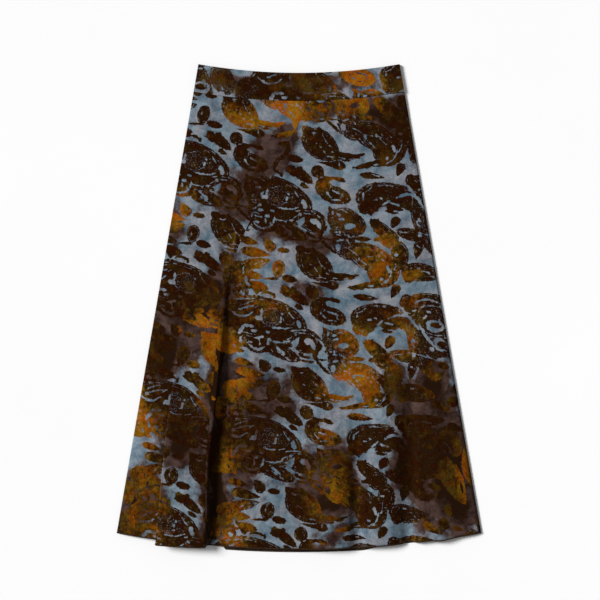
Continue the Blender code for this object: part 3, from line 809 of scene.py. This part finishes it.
left_skin, left_line = front_skin(
    "front_left_skin", "front_left_panel",
    lambda radius: np.full_like(radius, -SIDE_ANGLE),
    lambda radius: seam_angle(radius) - 0.5 * SEAM_GAP / radius,
    LEFT_COLUMNS, chart=(-0.1063, 0.1301), grain=5.26, pinned=-6.0,
)
main_skin, main_line = front_skin(
    "front_main_skin", "front_main_panel",
    lambda radius: seam_angle(radius) + 0.5 * SEAM_GAP / radius,
    lambda radius: np.full_like(radius, SIDE_ANGLE),
    MAIN_COLUMNS, chart=(0.0388, 0.0738), grain=2.67, pinned=1.7,
)

# ----------------------------------------------------------------------
# The waistband: the same velvet folded double over flat elastic, front and back, sewn to the
# panels along its lower edge and closed at the sides.

BAND_THICK = 0.0024
BAND_COLUMNS, BAND_ROWS = 160, 14
ROUND_STEPS = 7
BAND_DYES = [Dye(*row) for row in (
    (-152, 378, 36, 34, 0.2, 1, 0.5), (-112, 388, 40, 22, 0, 0.1, 1.3), (106, 385, 50, 34, 1.7, 0.5, 0.6),
    (60, 366, 64, 22, 0.6, 0.6, 0.4), (168, 380, 20, 40, -1.3, 0.2, 0.7), (-8, 372, 56, 30, 0, 0.3, 0.9),
    (-70, 360, 40, 16, 0, 0.2, 0.8), (20, 396, 70, 14, 0.2, 0.5, 0.9),
)]

band_velvet = velvet("band_velvet")


def tube_faces(points, flipped=False):
    """The faces of a tube: four corners for each step round and along its rings, and its two ends."""
    rings, ring = points.shape[:2]
    index = np.arange(rings * ring).reshape(rings, ring)
    onward = np.roll(index, -1, axis=1)
    corners = [index[:-1], onward[:-1], onward[1:], index[1:]]
    ends = [index[0, ::-1], index[-1]]
    if flipped:
        corners = corners[:1] + corners[:0:-1]
        ends = [end[::-1] for end in ends]
    return np.stack(corners, axis=-1).reshape(-1, 4).tolist() + [end.tolist() for end in ends]


def waistband(name, node, base, chart, grain, sign):
    """A slab section, rounded at the folded top edge, carried along the waist from side to side."""
    half = 0.5 * BAND_THICK
    turn = np.linspace(-0.5 * math.pi, 0.5 * math.pi, ROUND_STEPS)
    flat_run = np.linspace(SEAM_RADIUS, WAIST_RADIUS + half, BAND_ROWS, endpoint=False)
    radius = np.concatenate([flat_run, WAIST_RADIUS + half * (1.0 - np.cos(turn)), flat_run[::-1]])
    lower, upper = np.zeros(BAND_ROWS), np.full(BAND_ROWS, BAND_THICK)
    height = base + np.concatenate([lower, half * (1.0 + np.sin(turn)), upper])
    angle = np.linspace(-SIDE_ANGLE, SIDE_ANGLE, BAND_COLUMNS + 1)[:, None]
    points = on_plane(angle, radius, height)
    # The cloth runs on over the fold, so its place down the chart goes with the way round the section.
    way = running(np.hypot(np.diff(radius), np.diff(height)))
    flat_radius = SEAM_RADIUS - (way[-1] - way if sign > 0 else way)
    place = chart_place(sign * angle, flat_radius, chart, grain)
    dye = dye_shares(points, BAND_DYES)
    made = new_piece(name, points, tube_faces(points), [band_velvet], cloth=place, dye=dye)
    made.data.set_sharp_from_angle(angle=math.radians(50))
    return on_frame(made, node)


band_back = waistband("band_back_skin", "waistband_back", 0.0, (0.02, 0.30), 0.0, -1)
front_base = BAND_THICK + SEAM_GAP
band_front = waistband("band_front_skin", "waistband_front", front_base, (0.081, 0.478), -2.0, 1)

# ----------------------------------------------------------------------
# The hem: each panel's lower edge is turned and overlocked with dark brown thread. The right side
# shows a narrow corded line, the wrong side a wider row of stitches.

STITCH_PITCH = 0.0025
STITCH_SWELL = 0.16               # how far a stitch stands out, as a share of the edge's thickness
RING_STEP = 0.0006                # along the edge, from one ring of points to the next
RING_POINTS = 8


def overlock_thread():
    """Dark brown thread: fine ply lines slanting round the edge, worn lighter here and there."""
    made, tree, shader = new_material("overlock_thread")
    way = attribute(tree, "thread", "Vector")
    inputs = {"Vector": way, "Scale": 330.0, "Distortion": 1.5, "Detail": 1.0}
    ply = add("TexWave", inputs, bands_direction="DIAGONAL").outputs["Fac"]
    worn = scaled(noise(way, 140.0, 3.0, dimensions="3D"), 1.6, -0.60)
    lit = scaled(ply, 0.40, worn, clamp=True)
    fill(shader, {"Base Color": blend(lit, (0.012, 0.0048, 0.0014), (0.056, 0.028, 0.0085))})
    fill(shader, {"Normal": relief(ply, 0.4, 0.0002), "Roughness": 0.80, "Specular IOR Level": 0.15})
    return made


hem_thread = overlock_thread()


def hem_edge(name, node, line, half_width, half_height, outwards):
    """The stitched edge, a tube carried along the panel's lower edge: each ring is an ellipse, and at
    the distance s it swells by 1 + STITCH_SWELL |sin(pi s / STITCH_PITCH)|."""
    along = running(np.linalg.norm(np.diff(line, axis=0), axis=-1))
    way = np.linspace(0.0, along[-1], int(along[-1] / RING_STEP) + 1)
    middle = np.stack([np.interp(way, along, line[:, axis]) for axis in range(3)], axis=-1)
    heading = np.gradient(middle, axis=0)
    aside = unit(np.cross(heading, (0.0, 0.0, 1.0)))
    lift = unit(np.cross(aside, heading))
    turn = np.linspace(0.0, 2.0 * math.pi, RING_POINTS, endpoint=False)[None, :, None]
    swollen = (1.0 + STITCH_SWELL * np.abs(np.sin(math.pi * way / STITCH_PITCH)))[:, None, None]
    reach = outwards + half_width * swollen * np.cos(turn)
    points = middle[:, None] + reach * aside[:, None] + half_height * swollen * np.sin(turn) * lift[:, None]
    thread = np.stack(np.broadcast_arrays(way[:, None], half_width * turn[..., 0], 0.0), axis=-1)
    made = new_piece(name, points, tube_faces(points, flipped=True), [hem_thread], thread=thread)
    return on_frame(made, node)


BACK_EDGE = {"half_width": 0.0026, "half_height": 0.0006, "outwards": -0.0019}
FRONT_EDGE = {"half_width": 0.0011, "half_height": 0.00075, "outwards": 0.0001}
raised = np.array([0.0, 0.0, 0.00015])
back_edge = hem_edge("back_hem_edge", "back_panel", back_line, **BACK_EDGE)
left_edge = hem_edge("left_hem_edge", "front_left_panel", left_line + raised, **FRONT_EDGE)
main_edge = hem_edge("main_hem_edge", "front_main_panel", main_line + raised, **FRONT_EDGE)

# ----------------------------------------------------------------------
# The surface the skirt lies on is a smooth board, pale and matt. The light is soft and comes from
# the upper left, and the camera looks straight down.

floor_mesh = bpy.data.meshes.new("floor")
floor_mesh.from_pydata([(-4, -4, 0), (4, -4, 0), (4, 4, 0), (-4, 4, 0)], [], [(0, 1, 2, 3)])
floor = new_object("floor", floor_mesh)
pale, pale_tree, pale_shader = new_material("pale_board")
place = add("TexCoord", {}, pale_tree).outputs["Object"]
mottle = noise(place, 3.0, 3.0, dimensions="3D")
fill(pale_shader, {"Base Color": blend(mottle, (0.90, 0.90, 0.90), (0.93, 0.93, 0.93)), "Roughness": 0.9})
floor_mesh.materials.append(pale)

world = bpy.data.worlds.new("studio")
bpy.context.scene.world = world
world.use_nodes = True
fill(world.node_tree.nodes["Background"], {"Color": (1.0, 1.0, 1.0, 1), "Strength": 0.27})

LIGHT_FROM = (-3.0, 1.2, 2.1)
light = bpy.data.lights.new("key", "SUN")
light.angle = math.radians(22.0)
light.energy = 4.6
key = new_object("key", light)
key.location = LIGHT_FROM
steepness = math.atan2(math.hypot(LIGHT_FROM[0], LIGHT_FROM[1]), LIGHT_FROM[2])
key.rotation_euler = (steepness, 0.0, math.atan2(LIGHT_FROM[1], LIGHT_FROM[0]) + 0.5 * math.pi)

camera = bpy.data.cameras.new("camera")
camera.lens = 85.0
camera_place = new_object("camera", camera)
camera_place.location = (0.0017, 0.0136, 2.408)
bpy.context.scene.camera = camera_place
bpy.context.scene.view_settings.view_transform = "Standard"
